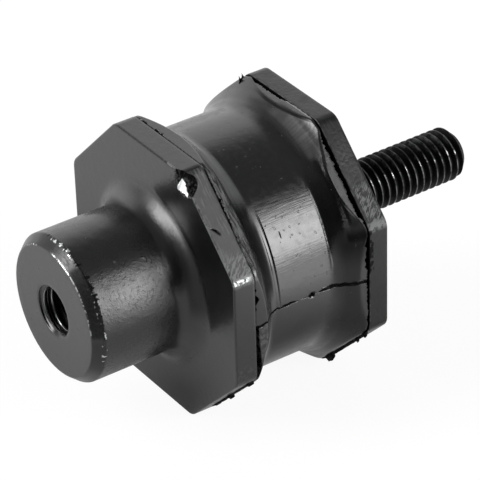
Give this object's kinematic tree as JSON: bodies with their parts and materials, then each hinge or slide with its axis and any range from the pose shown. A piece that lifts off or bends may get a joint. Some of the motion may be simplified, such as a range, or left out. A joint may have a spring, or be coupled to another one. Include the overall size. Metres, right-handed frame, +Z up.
{
  "type": "radiator mount",
  "caption": "Rubber buffer mount between two octagonal steel plates, with a round tapped boss on one end and a threaded stud on the other.",
  "frame": {"origin": "centre of the footprint, on the surface that the two octagonal plates lie on", "axes": "+X along the mount from the tapped boss towards the stud, +Z up, across the upper flat of the octagon"},
  "size_m": [0.1086, 0.063, 0.063],
  "materials": {
    "black_paint_hub": "semi-gloss black paint over forged steel",
    "black_rubber": "satin moulded rubber",
    "black_paint_plate": "semi-gloss black paint over pressed steel",
    "black_stud": "black finish over rolled thread"
  },
  "bodies": {
    "boss_side": {"threaded_hub": "black_paint_hub", "rubber_block": "black_rubber"},
    "stud_side": {"stud_plate": "black_paint_plate", "stud": "black_stud"}
  },
  "joints": [
    {"name": "rubber_flex", "type": "slide", "parent": "boss_side", "child": "stud_side", "axis": [1, 0, 0], "range_m": [-0.003, 0.0015], "stiffness_N_per_m": 400000, "deforming": ["rubber_block"]}
  ]
}
